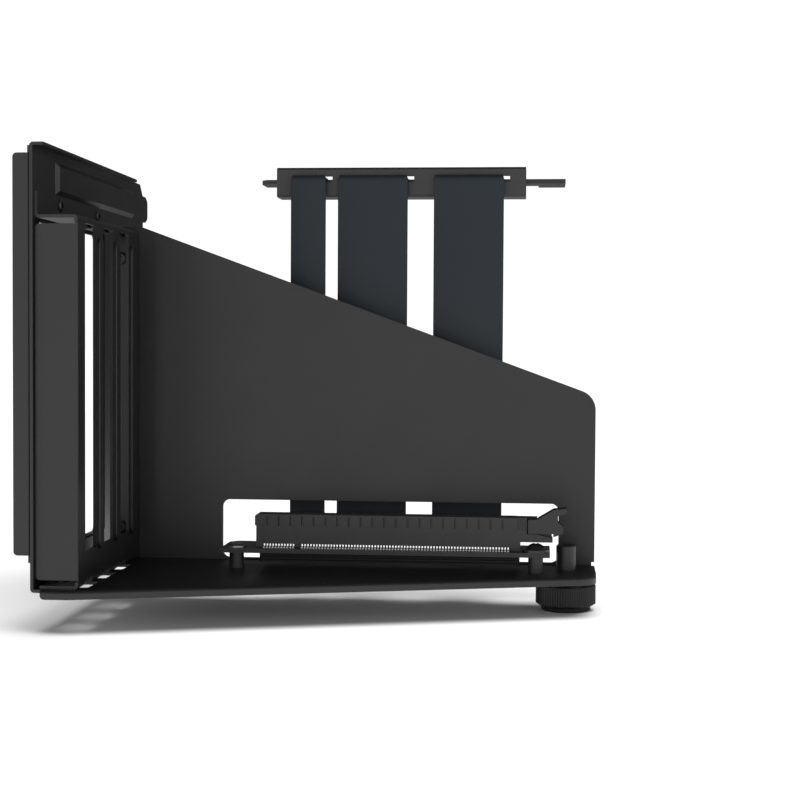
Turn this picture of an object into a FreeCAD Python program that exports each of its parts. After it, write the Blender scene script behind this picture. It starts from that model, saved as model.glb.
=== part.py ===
import FreeCAD, Part
import math
import os

# Vertical mount for an expansion card: a folded steel bracket, a three-slot card frame, a riser
# board with its edge socket, a ribbon riser cable with its plug, and a levelling foot.
# Millimetres. +X runs from the rear plate to the free end, +Y from the card side to the
# mainboard side, +Z up. The origin lies on the outer face of the rear plate, in line with the
# panel's front face, at half the height of the rear plate.

Vector = FreeCAD.Vector

# Sheet metal
sheet = 1.0
bend_in = 0.2
bend_out = bend_in + sheet
rivet_r = 1.5
rivet_head_r = 2.2
rivet_head_h = 0.7
rivet_rim_h = 0.28
rivet_crown_r = 1.54
rivet_bore_r = 1.1
rivet_bore_depth = 1.5
rivet_tail_r = 2.1
rivet_tail_h = 0.35
hole_play = 0.05

# Rear plate, which covers the opening of the case
rear_front_y = -76.8
rear_far_y = 59.5
rear_height = 129.0
rear_lip_out = 4.3
rear_lip_inset = 2.4
rear_corner_r = 1.3
rear_cut_front_y = -71.8
rear_cut_far_y = -3.7
rear_cut_low_z = -62.7
rear_cut_high_z = 41.5
rear_cut_r = 2.0

# Outer wall of the bracket, folded up from the base
wall_top_z = 65.4
wall_flange = 4.4
wall_flange_far_y = 37.1
wall_cut_front_y = -70.0
wall_cut_far_y = 4.5
wall_cut_low_z = -63.7
wall_cut_high_z = 45.5
wall_foot_far_y = 0.0
wall_skirt_far_y = 22.0
wall_far_chamfer = 4.4
hook_reach = 7.3
hook_height = 10.0
hook_drop = 4.2
hook_r = 1.6
emboss_near_y = -53.8
emboss_far_y = 42.8
emboss_low_z = 51.3
emboss_high_z = 61.7
emboss_rise = 1.2
emboss_bevel = 1.4

# Base, with a down-turned front lip
base_top_z = -72.6
base_right_x = 176.9
base_front_y = -78.5
base_taper_start_x = 13.3
base_taper_deg = 17.35
base_corner_r = 8.0
base_lip_left_x = 4.5
base_lip_height = 2.8
base_lip_r = 1.3

# Panel, folded up from the base
panel_left_x = 6.0
panel_left_r = 4.0
panel_top_z = 45.0
panel_slope_start_x = 16.3
panel_slope_deg = 20.06
panel_corner_r = 7.0
relief_x = 1.0
relief_z = 0.5
window_left_x = 46.0
window_right_x = 164.4
window_top_z = -51.3
window_above_base = 0.75
window_r = 2.6

# Card frame
slot_count = 3
slot_pitch = 20.32
slot_width = 12.1
slot_first_y = -61.1
slot_low_z = -61.7
slot_high_z = 41.2
slot_r = 0.8
frame_face_x = 15.7
frame_front_y = -75.3
frame_top_z = 43.3
frame_front_low_z = -69.8
frame_front_high_z = 40.5
frame_front_gap = 0.3
frame_front_r = 1.3
frame_up_flange = 7.1
frame_bottom_gap = 1.5
frame_far_gap = 1.2
bead_half = 2.5
bead_rise = 0.9
bead_edge = 0.25
bead_low_z = -60.3
bead_high_z = 35.2
tongue_width = 10.2
tongue_shift_y = -3.2
tongue_depth = 4.2
tongue_height = 2.0
tongue_base_width = 12.5
tongue_base_depth = 3.0
tongue_base_shift_y = -3.35
tongue_base_reach = 1.8
tongue_r = 0.8
card_screw_x = 11.0
card_screw_r = 1.4
card_collar_r = 2.2
card_collar_h = 1.6
wall_rivet_y = (-51.3, -8.1)
wall_rivet_z = 48.0
wall_tail_inset = 0.05
panel_rivet_x = 9.6
panel_rivet_z = (33.7, -61.6)
base_rivet_x = 8.0
base_rivet_y = (-66.5, -12.0)

# Riser board on its standoffs
board_left_x = 49.8
board_right_x = 161.4
board_front_y = -23.8
board_far_y = -3.2
board_low_z = -67.1
board_thick = 1.57
board_chamfer = 2.6
standoff_x = (54.8, 156.65)
standoff_y = -19.8
standoff_r = 2.5
standoff_shank_r = 2.0
screw_r = 1.5
screw_depth = 4.2
left_head_r = 3.2
left_head_h = 1.2
left_rim_h = 0.6
left_crown_r = 2.24
recess_width = 0.75
recess_length = 3.4
recess_depth = 0.8
right_head_r = 3.35
right_head_h = 2.1
washer_r = 4.7
washer_h = 0.9

# Edge socket
socket_left_x = 61.1
socket_right_x = 150.5
socket_mid_y = -16.45
socket_width = 7.5
socket_top_z = -54.2
socket_ledge_z = -58.1
socket_under_z = -64.3
socket_ledge_step = 0.35
socket_foot = 2.8
socket_end_step = 0.3
socket_keel = 5.2
socket_foot_over = 0.95
card_gap = 1.8
card_depth = 8.2
card_mouth = 3.0
card_mouth_depth = 1.0
notch_pitch = 4.0
notch_width = 0.7
notch_depth = 0.7
notch_below_top = 0.7
contact_first_x = 64.4
contact_pitch = 1.0
contacts_before_key = 11
contacts_after_key = 71
key_gap = 3.0
contact_width = 0.5
contact_thick = 0.35
contact_toe = 1.3

# Socket latch
latch_pivot_x = 157.0
latch_pivot_z = -61.0
latch_open_deg = 15.0
latch_boss_r = 0.7
latch_play = 0.05
latch_stem_width = 3.4
latch_width = 6.9
latch_stem_x = 2.2
latch_tip_x = 1.0
latch_tip_start = 0.4
latch_tip_end = 1.1
latch_heel_x = 2.3
latch_web_x = 5.0
latch_web_drop = 1.6
# The arm's corners: out from the pivot, up from the top of the cheeks, and rounding
latch_arm = (
    (-3.0, 0.0),
    (-3.0, 4.6),
    (0.2, 4.8),
    (5.5, 8.0, 0.6),
    (10.0, 8.6),
    (9.9, 6.9),
    (7.0, 6.0, 0.3),
    (7.1, 3.8),
    (8.8, 2.4),
    (8.8, 0.1),
    (5.7, -1.0),
)
cheek_right_x = 162.3
cheek_top_z = -59.5
cheek_low_z = -62.4
cheek_gap = 0.2
cheek_shoulder = 3.4
cheek_slot = 2.6
tower_right_x = 153.6
tower_rib_pitch = 1.1
tower_rib_width = 0.35
end_wall_right_x = 157.1
end_wall_thick = 0.8
end_wall_gap = 0.3
rib_below_top = 0.4

# Cover under the riser board
cover_left_x = 62.9
cover_right_x = 151.1
cover_front_y = -21.8
cover_far_y = -5.0
cover_low_z = -70.3
cover_r = 1.0
# Grooves along its front: start and end below the board
cover_grooves = ((0.0, 0.5), (0.85, 1.45), (2.1, 2.4))
cover_groove_depth = 1.0

# Ribbon cables
ribbon_spans = ((68.5, 81.1), (85.4, 110.35), (119.6, 144.35))
ribbon_thick = 0.8
ribbon_start_y = -14.0
ribbon_run_y = 9.2
ribbon_low_r = 7.0
ribbon_high_r = 2.2
ribbon_end_y = 20.0
ribbon_play = 0.1

# Plug at the far end of the ribbons
shell_left_x = 63.0
shell_right_x = 152.0
shell_near_y = 11.7
shell_far_y = 24.0
shell_low_z = 56.4
shell_high_z = 66.9
shell_edge = 0.8
plug_board_left_x = 57.0
plug_board_right_x = 166.0
plug_board_near_y = 14.0
plug_ear_far_y = 26.5
plug_tongue_far_y = 32.0
plug_tongue_left_x = 64.9
plug_board_low_z = 61.2
plug_board_thick = 1.57
plug_ear_chamfer = 2.2
plug_hook_x = 153.8
plug_hook_gap = 2.6
plug_hook_reach = 3.0
plug_hook_root = 3.0
plug_tongue_chamfer = 1.0
plug_key_root = 1.0
plug_key_width = 1.9
plug_tongue_short = 11.65
plug_tongue_long = 71.65
plug_part_z = 63.85
ribbon_slot_low_z = 61.6
ribbon_slot_high_z = 64.9
shell_wall = 1.3
ribbon_slot_spare = 2.0
finger_width = 0.7
finger_length = 4.3
finger_inset = 0.6
finger_edge = 1.2
finger_thick = 0.05

# Levelling foot
foot_x = 166.95
foot_y = -10.3
bush_r = 3.35
bush_top_z = -64.2
bush_shank_r = 2.9
stud_r = 2.0
stud_play = 0.05
stud_top_z = -65.0
stud_low_z = -82.0
knob_r = 10.2
knob_top_z = -77.5
knob_side_low_z = -83.9
knob_low_z = -84.9
knob_low_r = 8.7
knob_edge = 0.4
flute_count = 72
flute_depth = 0.28
pad_r = 8.4
pad_low_z = -86.4
pad_gap = 0.1
pad_stem_r = 2.4
pad_head_r = 3.0
pad_head_h = 0.8
pad_neck_h = 1.5

# Places that follow from the sizes above
rear_low_z = -rear_height / 2
rear_high_z = rear_height / 2
wall_x = sheet
wall_in_x = 2 * sheet
base_low_z = base_top_z - sheet
base_lip_z = base_top_z - base_lip_height
frame_back_x = frame_face_x - sheet
frame_front_left_x = wall_in_x + frame_front_gap
frame_bottom_left_x = wall_in_x + frame_bottom_gap
frame_low_z = base_top_z
window_low_z = base_top_z + window_above_base
board_top_z = board_low_z + board_thick
slot_centres = [slot_first_y + n * slot_pitch for n in range(slot_count)]
divider_centres = [y + slot_pitch / 2 for y in slot_centres]
ribbon_low_z = board_low_z - ribbon_thick / 2
plug_board_top_z = plug_board_low_z + plug_board_thick
ribbon_high_z = plug_board_top_z + ribbon_thick / 2
contact_places = [contact_first_x + n * contact_pitch for n in range(contacts_before_key)]
contact_restart_x = contact_places[-1] + key_gap
contact_places += [contact_restart_x + n * contact_pitch for n in range(contacts_after_key)]
key_centre_x = contact_restart_x - key_gap / 2


# Outlines and simple solids
def rounded_outline(corners, place):
    """A closed wire through (u, v) or (u, v, radius) corners; place maps (u, v) to a point."""
    count = len(corners)
    flat = [Vector(c[0], c[1], 0) for c in corners]
    radii = [c[2] if len(c) > 2 else 0.0 for c in corners]
    ends = []
    for n in range(count):
        here = flat[n]
        to_last = (flat[n - 1] - here).normalize()
        to_next = (flat[(n + 1) % count] - here).normalize()
        if radii[n] == 0.0:
            ends.append((here, None, here))
            continue
        half = to_last.getAngle(to_next) / 2
        reach = radii[n] / math.tan(half)
        middle = (to_last + to_next).normalize()
        crown = here + middle * (radii[n] / math.sin(half) - radii[n])
        ends.append((here + to_last * reach, crown, here + to_next * reach))
    edges = []
    for n in range(count):
        start, crown, finish = ends[n]
        if crown is not None:
            arc = Part.Arc(place(start), place(crown), place(finish))
            edges.append(arc.toShape())
        following = ends[(n + 1) % count][0]
        if (following - finish).Length > 1e-7:
            edges.append(Part.LineSegment(place(finish), place(following)).toShape())
    return Part.Wire(edges)


def along_z(corners, low, high):
    """A prism whose outline lies in X and Y."""
    wire = rounded_outline(corners, lambda p: Vector(p.x, p.y, low))
    return Part.Face(wire).extrude(Vector(0, 0, high - low))


def along_y(corners, near, far):
    """A prism whose outline lies in X and Z."""
    wire = rounded_outline(corners, lambda p: Vector(p.x, near, p.y))
    return Part.Face(wire).extrude(Vector(0, far - near, 0))


def along_x(corners, left, right):
    """A prism whose outline lies in Y and Z."""
    wire = rounded_outline(corners, lambda p: Vector(left, p.x, p.y))
    return Part.Face(wire).extrude(Vector(right - left, 0, 0))


def rectangle(u0, u1, v0, v1, radius=0.0):
    """The four corners of a rectangle, rounded if a radius is given."""
    return [(u0, v0, radius), (u1, v0, radius), (u1, v1, radius), (u0, v1, radius)]


def block(x0, x1, y0, y1, z0, z1):
    return Part.makeBox(x1 - x0, y1 - y0, z1 - z0, Vector(x0, y0, z0))


def rod_x(radius, x0, x1, y, z):
    return Part.makeCylinder(radius, x1 - x0, Vector(x0, y, z), Vector(1, 0, 0))


def rod_y(radius, y0, y1, x, z):
    return Part.makeCylinder(radius, y1 - y0, Vector(x, y0, z), Vector(0, 1, 0))


def rod_z(radius, z0, z1, x, y):
    return Part.makeCylinder(radius, z1 - z0, Vector(x, y, z0), Vector(0, 0, 1))


def turned(profile, x, y):
    """A solid of revolution about a vertical axis, from (radius, z) points."""
    points = [Vector(x + r, y, z) for r, z in profile]
    face = Part.Face(Part.makePolygon(points + points[:1]))
    return face.revolve(Vector(x, y, 0), Vector(0, 0, 1), 360)


def one(shapes):
    """The shapes joined into one clean solid."""
    joined = shapes[0].multiFuse(shapes[1:]) if len(shapes) > 1 else shapes[0]
    return joined.removeSplitter()


# Rear plate: flat cover with a large card opening and a lip along its near edge
def rear_plate():
    lip_low_z = rear_low_z + rear_lip_inset
    lip_high_z = rear_high_z - rear_lip_inset
    lip_face_y = rear_front_y
    flat_near_y = lip_face_y + bend_out
    plate = along_x(rectangle(flat_near_y, rear_far_y, rear_low_z, rear_high_z), 0, sheet)
    lip = along_z(
        [
            (-rear_lip_out, lip_face_y),
            (sheet, lip_face_y, bend_out),
            (sheet, flat_near_y + sheet),
            (0, flat_near_y + sheet),
            (0, lip_face_y + sheet, bend_in),
            (-rear_lip_out, lip_face_y + sheet),
        ],
        lip_low_z,
        lip_high_z,
    )
    corners = [
        (-rear_lip_out, lip_low_z, rear_corner_r),
        (2 * sheet, lip_low_z),
        (2 * sheet, lip_high_z),
        (-rear_lip_out, lip_high_z, rear_corner_r),
    ]
    lip = lip.common(along_y(corners, lip_face_y - sheet, flat_near_y + 2 * sheet))
    opening = rectangle(
        rear_cut_front_y, rear_cut_far_y, rear_cut_low_z, rear_cut_high_z, rear_cut_r
    )
    cuts = [along_x(opening, -sheet, 2 * sheet)]
    seat_r, seat_x = rivet_tail_r + hole_play, wall_tail_inset + rivet_tail_h
    for y in wall_rivet_y:
        cuts.append(rod_x(rivet_r + hole_play, -sheet, 2 * sheet, y, wall_rivet_z))
        cuts.append(rod_x(seat_r, -sheet, seat_x, y, wall_rivet_z))
    return one([plate, lip]).cut(cuts)


# Bracket: outer wall, base with a front lip, and sloping panel, folded from one sheet
def taper_y(x):
    """The front edge of the base at x, past the start of its taper."""
    return base_front_y + (x - base_taper_start_x) * math.tan(math.radians(base_taper_deg))


def hook(low_z):
    """A tab on the far edge of the wall, which goes behind the edge of the case opening."""
    tip_y = rear_far_y + hook_reach
    high_z = low_z + hook_height
    corners = [
        (rear_far_y - sheet, low_z),
        (tip_y - 2 * hook_r, low_z, hook_r),
        (tip_y, low_z + hook_r, hook_r),
        (tip_y, high_z - hook_r, hook_r),
        (tip_y - 2 * hook_r, high_z, hook_r),
        (rear_far_y - sheet, high_z),
    ]
    return along_x(corners, wall_x, wall_in_x)


def wall_emboss(outer_x):
    """The pressed rib of the wall: a bevelled block that stands on outer_x."""
    foot = rectangle(emboss_near_y, emboss_far_y, emboss_low_z, emboss_high_z)
    crown = rectangle(
        emboss_near_y + emboss_bevel,
        emboss_far_y - emboss_bevel,
        emboss_low_z + emboss_bevel,
        emboss_high_z - emboss_bevel,
    )
    wires = []
    for corners, x in ((foot, outer_x), (crown, outer_x + emboss_rise)):
        wires.append(rounded_outline(corners, lambda p, x=x: Vector(x, p.x, p.y)))
    return Part.makeLoft(wires, True, True)


def bracket_wall():
    """The wall with its top flange and hooks, down to the bend of the base."""
    plain_top_z = wall_top_z - bend_out
    far_low_z = rear_low_z
    corners = [
        (rear_front_y, base_low_z + bend_out),
        (wall_skirt_far_y, base_low_z + bend_out),
        (wall_skirt_far_y, far_low_z),
        (rear_far_y, far_low_z, wall_far_chamfer),
        (rear_far_y, wall_top_z - wall_far_chamfer),
        (rear_far_y - wall_far_chamfer, wall_top_z),
        (wall_flange_far_y + bend_out, wall_top_z),
        (wall_flange_far_y + bend_out, plain_top_z),
        (rear_front_y, plain_top_z),
    ]
    plate = along_x(corners, wall_x, wall_in_x)
    flange = along_y(
        [
            (wall_x, plain_top_z - sheet),
            (wall_in_x, plain_top_z - sheet),
            (wall_in_x, wall_top_z - sheet, bend_in),
            (wall_x + wall_flange, wall_top_z - sheet),
            (wall_x + wall_flange, wall_top_z),
            (wall_x, wall_top_z, bend_out),
        ],
        rear_front_y,
        wall_flange_far_y,
    )
    upper_hook = hook(wall_top_z - hook_drop - hook_height)
    lower_hook = hook(rear_low_z + hook_drop)
    return [plate, flange, upper_hook, lower_hook]


def base_fold():
    """The bend between the outer wall and the base."""
    corners = [
        (wall_x, base_low_z, bend_out),
        (wall_x + 2 * bend_out, base_low_z),
        (wall_x + 2 * bend_out, base_top_z),
        (wall_in_x, base_top_z, bend_in),
        (wall_in_x, base_low_z + 2 * bend_out),
        (wall_x, base_low_z + 2 * bend_out),
    ]
    return along_y(corners, rear_front_y, wall_foot_far_y)


def base_plate():
    """The flat of the base with its front lip, which turns the free corner."""
    slope = math.radians(base_taper_deg)
    left_x = wall_x + bend_out
    far_y = -bend_in
    corner_y = taper_y(base_right_x)
    lip_end_y = corner_y + base_corner_r
    outline = [
        (base_lip_left_x, base_front_y),
        (base_taper_start_x, base_front_y),
        (base_right_x, corner_y, base_corner_r),
        (base_right_x, lip_end_y),
        (base_lip_left_x, lip_end_y),
    ]
    pan = along_z(outline, base_lip_z, base_top_z)
    front_edges = [e for e in pan.Edges if front_edge(e, lip_end_y)]
    pan = pan.makeFillet(bend_out, front_edges)
    inner_x = base_right_x - sheet
    inner_corner_y = taper_y(inner_x) + sheet / math.cos(slope)
    pocket = along_z(
        [
            (base_lip_left_x - sheet, base_front_y + sheet),
            (base_taper_start_x - sheet * math.tan(slope / 2), base_front_y + sheet),
            (inner_x, inner_corner_y, base_corner_r - sheet),
            (inner_x, lip_end_y + sheet),
            (base_lip_left_x - sheet, lip_end_y + sheet),
        ],
        base_lip_z - sheet,
        base_low_z,
    )
    flat = along_z(
        [
            (left_x, rear_front_y),
            (base_taper_start_x + sheet, rear_front_y),
            (base_right_x - base_corner_r, lip_end_y),
            (base_right_x, lip_end_y),
            (base_right_x, far_y),
            (left_x, far_y),
        ],
        base_low_z,
        base_top_z,
    )
    lip_outline = [
        (base_lip_left_x, base_lip_z, base_lip_r),
        (base_right_x + sheet, base_lip_z),
        (base_right_x + sheet, base_top_z),
        (base_lip_left_x, base_top_z),
    ]
    pan = pan.cut(pocket).common(along_y(lip_outline, base_front_y - sheet, lip_end_y + sheet))
    return pan, flat


def front_edge(edge, lip_end_y):
    """Whether an edge of the pan is the upper edge of the front lip."""
    middle = edge.valueAt((edge.FirstParameter + edge.LastParameter) / 2)
    box = edge.BoundBox
    level = abs(box.ZMin - base_top_z) < 1e-6 and abs(box.ZMax - base_top_z) < 1e-6
    on_side = abs(middle.x - base_lip_left_x) < 1e-6 or abs(middle.x - base_right_x) < 1e-6
    return level and not on_side and middle.y < lip_end_y - 1e-6


def panel():
    """The upright panel, its bend to the base, and its window."""
    fall = math.tan(math.radians(panel_slope_deg))
    right_top_z = panel_top_z - (base_right_x - panel_slope_start_x) * fall
    bend_top_z = base_low_z + bend_out + sheet
    sheet_outline = [
        (panel_left_x, bend_top_z),
        (base_right_x, bend_top_z),
        (base_right_x, right_top_z, panel_corner_r),
        (panel_slope_start_x, panel_top_z, panel_corner_r),
        (panel_left_x, panel_top_z, panel_left_r),
    ]
    upright = along_y(sheet_outline, 0, sheet)
    bend = along_x(
        [
            (-2 * bend_out, base_low_z),
            (sheet, base_low_z, bend_out),
            (sheet, bend_top_z),
            (0, bend_top_z),
            (0, base_top_z, bend_in),
            (-2 * bend_out, base_top_z),
        ],
        panel_left_x,
        base_right_x - relief_x,
    )
    window = rectangle(window_left_x, window_right_x, window_low_z, window_top_z, window_r)
    return [upright, bend], along_y(window, -sheet, 2 * sheet)


def frame_tongue_cuts():
    """The notches in the frame's lower bend for the lower tips of the card brackets."""
    cuts = []
    for centre in slot_centres:
        near_y = centre + tongue_shift_y - tongue_width / 2
        cuts.append(
            block(
                frame_face_x - tongue_depth,
                frame_face_x + sheet,
                near_y,
                near_y + tongue_width,
                frame_low_z - sheet,
                frame_low_z + tongue_height,
            )
        )
    return cuts


def base_tongue_cuts():
    """The openings in the base under those notches."""
    left_x = frame_face_x - tongue_base_depth
    right_x = frame_face_x + tongue_base_reach
    cuts = []
    for centre in slot_centres:
        near_y = centre + tongue_base_shift_y - tongue_base_width / 2
        opening = rectangle(left_x, right_x, near_y, near_y + tongue_base_width, tongue_r)
        cuts.append(along_z(opening, base_low_z - sheet, base_top_z + sheet))
    return cuts


def bracket():
    pan, flat = base_plate()
    panel_sheets, window = panel()
    relief_low_z = base_low_z - sheet
    relief = block(
        base_right_x - relief_x,
        base_right_x + sheet,
        -bend_in,
        2 * sheet,
        relief_low_z,
        base_top_z + relief_z,
    )
    body = one(bracket_wall() + [base_fold(), pan, flat] + panel_sheets + [wall_emboss(wall_in_x)])
    cuts = [window, relief, wall_emboss(wall_x)]
    cuts.append(
        along_x(
            rectangle(
                wall_cut_front_y, wall_cut_far_y, wall_cut_low_z, wall_cut_high_z, rear_cut_r
            ),
            0,
            wall_in_x + sheet,
        )
    )
    cuts += base_tongue_cuts()
    hole_r = rivet_r + hole_play
    cuts += [rod_x(hole_r, 0, wall_in_x + sheet, y, wall_rivet_z) for y in wall_rivet_y]
    cuts += [rod_y(hole_r, -sheet, 2 * sheet, panel_rivet_x, z) for z in panel_rivet_z]
    low_z, high_z = base_low_z - sheet, base_top_z + sheet
    cuts += [rod_z(hole_r, low_z, high_z, base_rivet_x, y) for y in base_rivet_y]
    cuts += [rod_z(standoff_shank_r, low_z, high_z, x, standoff_y) for x in standoff_x]
    cuts.append(rod_z(bush_shank_r, low_z, high_z, foot_x, foot_y))
    return body.cut(cuts)


# Card frame: slot plate with flanges folded back on all four sides
def bead(centre_y, half, low_x, high_x):
    """A round-ended rib along a divider, between two levels."""
    outline = rectangle(
        centre_y - half, centre_y + half, bead_low_z - half, bead_high_z + half, half - hole_play
    )
    return along_x(outline, low_x, high_x)


def raised_bead(centre_y):
    """The front of a pressed rib, with its upper edge broken."""
    high_x = frame_face_x + bead_rise
    rib = bead(centre_y, bead_half, frame_face_x - sheet / 2, high_x)
    upper = [e for e in rib.Edges if e.BoundBox.XMin > high_x - hole_play]
    return rib.makeChamfer(bead_edge, upper)


def slot_frame():
    plain_front_y = frame_front_y + bend_out
    plain_far_y = -bend_out
    plain_low_z = frame_low_z + bend_out
    plain_high_z = frame_top_z - bend_out
    plate = block(frame_back_x, frame_face_x, plain_front_y, plain_far_y, plain_low_z, plain_high_z)
    front = along_z(
        [
            (frame_front_left_x, frame_front_y),
            (frame_face_x, frame_front_y, bend_out),
            (frame_face_x, plain_front_y + sheet),
            (frame_back_x, plain_front_y + sheet),
            (frame_back_x, frame_front_y + sheet, bend_in),
            (frame_front_left_x, frame_front_y + sheet),
        ],
        frame_front_low_z,
        frame_front_high_z,
    )
    front_face = [
        (frame_front_left_x, frame_front_low_z, frame_front_r),
        (frame_face_x + sheet, frame_front_low_z),
        (frame_face_x + sheet, frame_front_high_z),
        (frame_front_left_x, frame_front_high_z, frame_front_r),
    ]
    front = front.common(along_y(front_face, frame_front_y - sheet, plain_front_y + 2 * sheet))
    far = along_z(
        [
            (panel_left_x, -sheet),
            (frame_back_x, -sheet, bend_in),
            (frame_back_x, plain_far_y - sheet),
            (frame_face_x, plain_far_y - sheet),
            (frame_face_x, 0, bend_out),
            (panel_left_x, 0),
        ],
        frame_front_low_z,
        frame_front_high_z,
    )
    up_top_z = frame_top_z + frame_up_flange
    top = along_y(
        [
            (frame_back_x, plain_high_z - sheet),
            (frame_face_x, plain_high_z - sheet),
            (frame_face_x, frame_top_z, bend_out),
            (wall_in_x + sheet, frame_top_z, bend_in),
            (wall_in_x + sheet, up_top_z),
            (wall_in_x, up_top_z),
            (wall_in_x, frame_top_z - sheet, bend_out),
            (frame_back_x, frame_top_z - sheet, bend_in),
        ],
        frame_front_y,
        -frame_far_gap,
    )
    bottom = along_y(
        [
            (frame_bottom_left_x, frame_low_z),
            (frame_face_x, frame_low_z, bend_out),
            (frame_face_x, plain_low_z + sheet),
            (frame_back_x, plain_low_z + sheet),
            (frame_back_x, frame_low_z + sheet, bend_in),
            (frame_bottom_left_x, frame_low_z + sheet),
        ],
        frame_front_y,
        -frame_far_gap,
    )
    collar_low_z = frame_top_z - sheet - card_collar_h
    collars = [
        rod_z(card_collar_r, collar_low_z, frame_top_z - sheet / 2, card_screw_x, y)
        for y in divider_centres
    ]
    body = one([plate, front, far, top, bottom] + collars)
    body = one([body] + [raised_bead(y) for y in divider_centres])
    groove_x = frame_back_x + bead_rise
    cuts = [bead(y, bead_half - sheet, frame_back_x - sheet, groove_x) for y in divider_centres]
    for y in slot_centres:
        opening = rectangle(y - slot_width / 2, y + slot_width / 2, slot_low_z, slot_high_z, slot_r)
        cuts.append(along_x(opening, frame_back_x - sheet, frame_face_x + sheet))
    cuts += frame_tongue_cuts()
    cuts += [
        rod_z(card_screw_r, collar_low_z - sheet, frame_top_z + sheet, card_screw_x, y)
        for y in divider_centres
    ]
    hole_r = rivet_r + hole_play
    cuts += [rod_x(hole_r, wall_x, wall_in_x + 2 * sheet, y, wall_rivet_z) for y in wall_rivet_y]
    cuts += [rod_y(hole_r, -2 * sheet, sheet, panel_rivet_x, z) for z in panel_rivet_z]
    cuts += [
        rod_z(hole_r, frame_low_z - sheet, frame_low_z + 2 * sheet, base_rivet_x, y)
        for y in base_rivet_y
    ]
    return body.cut(cuts)


# Blind rivets: a hollow flanged head on the inner side, a flat closing head on the outer side
def rivet(place, direction, grip):
    """A rivet whose head sits at place, with its shank along direction."""
    tail_end = grip + rivet_tail_h
    profile = [
        (rivet_bore_r, rivet_head_h),
        (rivet_bore_r, rivet_head_h - rivet_bore_depth),
        (0, rivet_head_h - rivet_bore_depth),
        (0, -tail_end),
        (rivet_tail_r, -tail_end),
        (rivet_tail_r, -grip),
        (rivet_r, -grip),
        (rivet_r, 0),
        (rivet_head_r, 0),
        (rivet_head_r, rivet_rim_h),
        (rivet_crown_r, rivet_head_h),
    ]
    solid = turned(profile, 0, 0)
    turn = FreeCAD.Rotation(Vector(0, 0, -1), direction)
    solid.Placement = FreeCAD.Placement(place, turn)
    return solid


def wall_rivets():
    head_x = wall_in_x + sheet
    grip = head_x - wall_tail_inset - rivet_tail_h
    return [rivet(Vector(head_x, y, wall_rivet_z), Vector(-1, 0, 0), grip) for y in wall_rivet_y]


def panel_rivets():
    grip = 2 * sheet
    return [rivet(Vector(panel_rivet_x, -sheet, z), Vector(0, 1, 0), grip) for z in panel_rivet_z]


def base_rivets():
    head_z = frame_low_z + sheet
    grip = 2 * sheet
    return [rivet(Vector(base_rivet_x, y, head_z), Vector(0, 0, -1), grip) for y in base_rivet_y]


# Riser board and what carries it
def riser_board():
    outline = [
        (board_left_x, board_front_y),
        (board_right_x, board_front_y),
        (board_right_x, board_far_y),
        (board_left_x + board_chamfer, board_far_y),
        (board_left_x, board_far_y - board_chamfer),
    ]
    holes = [
        rod_z(screw_r + hole_play, board_low_z - 1, board_top_z + 1, x, standoff_y)
        for x in standoff_x
    ]
    return along_z(outline, board_low_z, board_top_z).cut(holes)


def standoff(x):
    profile = [
        (screw_r + hole_play, base_low_z),
        (standoff_shank_r, base_low_z),
        (standoff_shank_r, base_top_z),
        (standoff_r, base_top_z),
        (standoff_r, board_low_z),
        (screw_r + hole_play, board_low_z),
    ]
    return turned(profile, x, standoff_y)


def cross_recess(x, top_z):
    """The cross-shaped driver recess in a board screw, below top_z."""
    half_width, half_length = recess_width / 2, recess_length / 2
    low_z, high_z = top_z - recess_depth, top_z + recess_depth
    return [
        block(x - u, x + u, standoff_y - v, standoff_y + v, low_z, high_z)
        for u, v in ((half_width, half_length), (half_length, half_width))
    ]


def left_screw():
    low_z = board_top_z - screw_depth
    profile = [
        (0, low_z),
        (screw_r, low_z),
        (screw_r, board_top_z),
        (left_head_r, board_top_z),
        (left_head_r, board_top_z + left_rim_h),
        (left_crown_r, board_top_z + left_head_h),
        (0, board_top_z + left_head_h),
    ]
    return turned(profile, standoff_x[0], standoff_y).cut(
        cross_recess(standoff_x[0], board_top_z + left_head_h)
    )


def right_washer():
    hole_r = screw_r + hole_play
    ring = rod_z(washer_r, board_top_z, board_top_z + washer_h, standoff_x[1], standoff_y)
    hole = rod_z(hole_r, board_low_z, board_top_z + 2 * washer_h, standoff_x[1], standoff_y)
    return ring.cut(hole)


def right_screw():
    seat_z = board_top_z + washer_h
    ball_r = (right_head_r**2 + right_head_h**2) / (2 * right_head_h)
    ball_z = seat_z + right_head_h - ball_r
    dome = Part.makeSphere(ball_r, Vector(standoff_x[1], standoff_y, ball_z))
    keep = rod_z(right_head_r, seat_z, seat_z + right_head_h, standoff_x[1], standoff_y)
    low_z = seat_z - washer_h - screw_depth
    shank = rod_z(screw_r, low_z, seat_z + right_head_h / 2, standoff_x[1], standoff_y)
    recess = cross_recess(standoff_x[1], seat_z + right_head_h)
    return one([dome.common(keep), shank]).cut(recess)


# Edge socket with its contacts and latch
def socket_side(side):
    """The signed distance from the socket's middle plane to one of its long faces."""
    return socket_mid_y + side * socket_width / 2


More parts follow.
